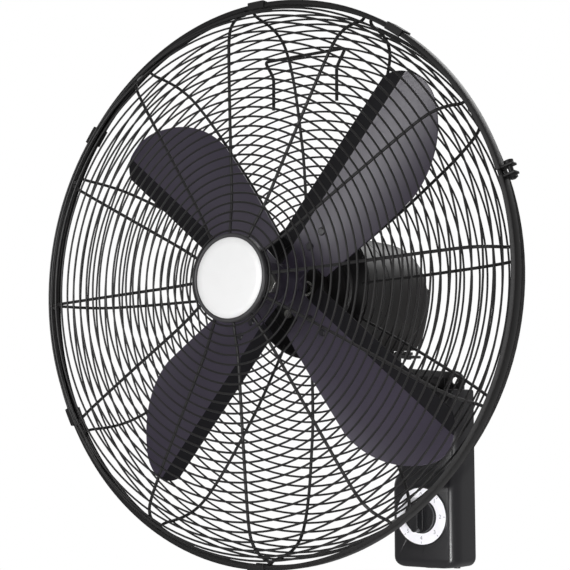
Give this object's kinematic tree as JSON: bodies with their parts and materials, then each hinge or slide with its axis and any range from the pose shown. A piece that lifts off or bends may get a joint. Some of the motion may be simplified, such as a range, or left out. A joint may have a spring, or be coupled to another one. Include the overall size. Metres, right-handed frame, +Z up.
{
  "type": "wall mounted fan",
  "caption": "Wall mounted oscillating fan: caged four-blade head on a tilting neck, cast wall bracket and a switch box with a rotary speed knob.",
  "frame": {"origin": "centre of the four wall screw holes, on the wall plane", "axes": "+Z up, -Y out of the wall into the room (the way the air is blown), +X to the right of someone who looks at the fan from the room"},
  "size_m": [0.5702, 0.4228, 0.5948],
  "materials": {
    "guard_paint": "black satin enamel on welded steel wire and rolled hoop",
    "badge_face": "plain white moulded disc, left blank",
    "badge_trim": "black moulded rim",
    "blade_paint": "dark violet grey satin paint on pressed sheet",
    "motor_paint": "black satin paint on pressed and cast metal",
    "bracket_paint": "black satin paint on cast iron",
    "zinc_steel": "bright zinc plating",
    "ground_steel": "ground steel",
    "laminated_iron": "varnished lamination stack",
    "bearing_bronze": "oil-filled sintered bronze",
    "box_plastic": "black moulded housing, fine grain",
    "knob_plastic": "black moulded knob",
    "dial_face": "white printed dial",
    "switch_plastic": "moulded electrical plastic",
    "capacitor_plastic": "potted capacitor case",
    "grommet_rubber": "soft black rubber"
  },
  "bodies": {
    "wall_unit": {"wall_bracket": "bracket_paint", "tilt_bolt": "zinc_steel", "tilt_nut": "zinc_steel", "switch_box": "box_plastic", "box_screws": "zinc_steel", "cable_grommet": "grommet_rubber", "dial_plate": "dial_face", "rotary_switch": "switch_plastic", "run_capacitor": "capacitor_plastic", "terminal_block": "switch_plastic"},
    "neck": {"tilt_neck": "bracket_paint", "swivel_bush": "bearing_bronze", "swivel_set_screw": "zinc_steel", "oscillation_stay": "bracket_paint", "stay_screws": "bracket_paint"},
    "fan_head": {"front_guard": "guard_paint", "rear_guard": "guard_paint", "guard_hoop": "guard_paint", "hoop_screw": "guard_paint", "hoop_nut": "guard_paint", "guard_clips": "guard_paint", "carry_handle": "guard_paint", "badge_cup": "badge_trim", "badge_disc": "badge_face", "motor_front_shell": "motor_paint", "motor_rear_shell": "motor_paint", "stator": "laminated_iron", "motor_through_screws": "zinc_steel", "guard_screws": "zinc_steel", "front_bearing": "ground_steel", "rear_bearing": "ground_steel", "gearbox_housing": "motor_paint", "gearbox_cover": "motor_paint", "swivel_pin": "ground_steel"},
    "rotor": {"rotor_shaft": "ground_steel", "rotor_core": "laminated_iron", "blade_hub": "blade_paint", "fan_blade_1": "blade_paint", "fan_blade_2": "blade_paint", "fan_blade_3": "blade_paint", "fan_blade_4": "blade_paint", "blade_rivets": "blade_paint", "hub_nut": "zinc_steel"},
    "oscillation_crank": {"crank": "bracket_paint"},
    "clutch": {"clutch_knob": "knob_plastic"},
    "speed_control": {"speed_knob": "knob_plastic", "switch_shaft": "ground_steel"}
  },
  "joints": [
    {"name": "head_tilt", "type": "hinge", "parent": "wall_unit", "child": "neck", "pos_m": [0, -0.125, 0.077], "axis": [1, 0, 0], "range_deg": [-10, 30]},
    {"name": "oscillation", "type": "hinge", "parent": "neck", "child": "fan_head", "pos_m": [0, -0.125, 0.104], "axis": [0, 0, 1], "range_deg": [-35, 35]},
    {"name": "rotor_spin", "type": "hinge", "parent": "fan_head", "child": "rotor", "pos_m": [0, -0.334, 0.169], "axis": [0, 1, 0], "continuous": true},
    {"name": "crank_turn", "type": "hinge", "parent": "fan_head", "child": "oscillation_crank", "pos_m": [0, -0.094, 0.108], "axis": [0, 0, 1], "range_deg": [-105, 105]},
    {"name": "clutch_pull", "type": "slide", "parent": "fan_head", "child": "clutch", "axis": [0, 0, 1], "range_m": [0, 0.006]},
    {"name": "speed_turn", "type": "hinge", "parent": "wall_unit", "child": "speed_control", "pos_m": [0, -0.053, -0.078], "axis": [0, 1, 0], "range_deg": [0, 225]}
  ],
  "couplings": [
    {"joint": "crank_turn", "follows": "oscillation", "ratio": -3}
  ]
}
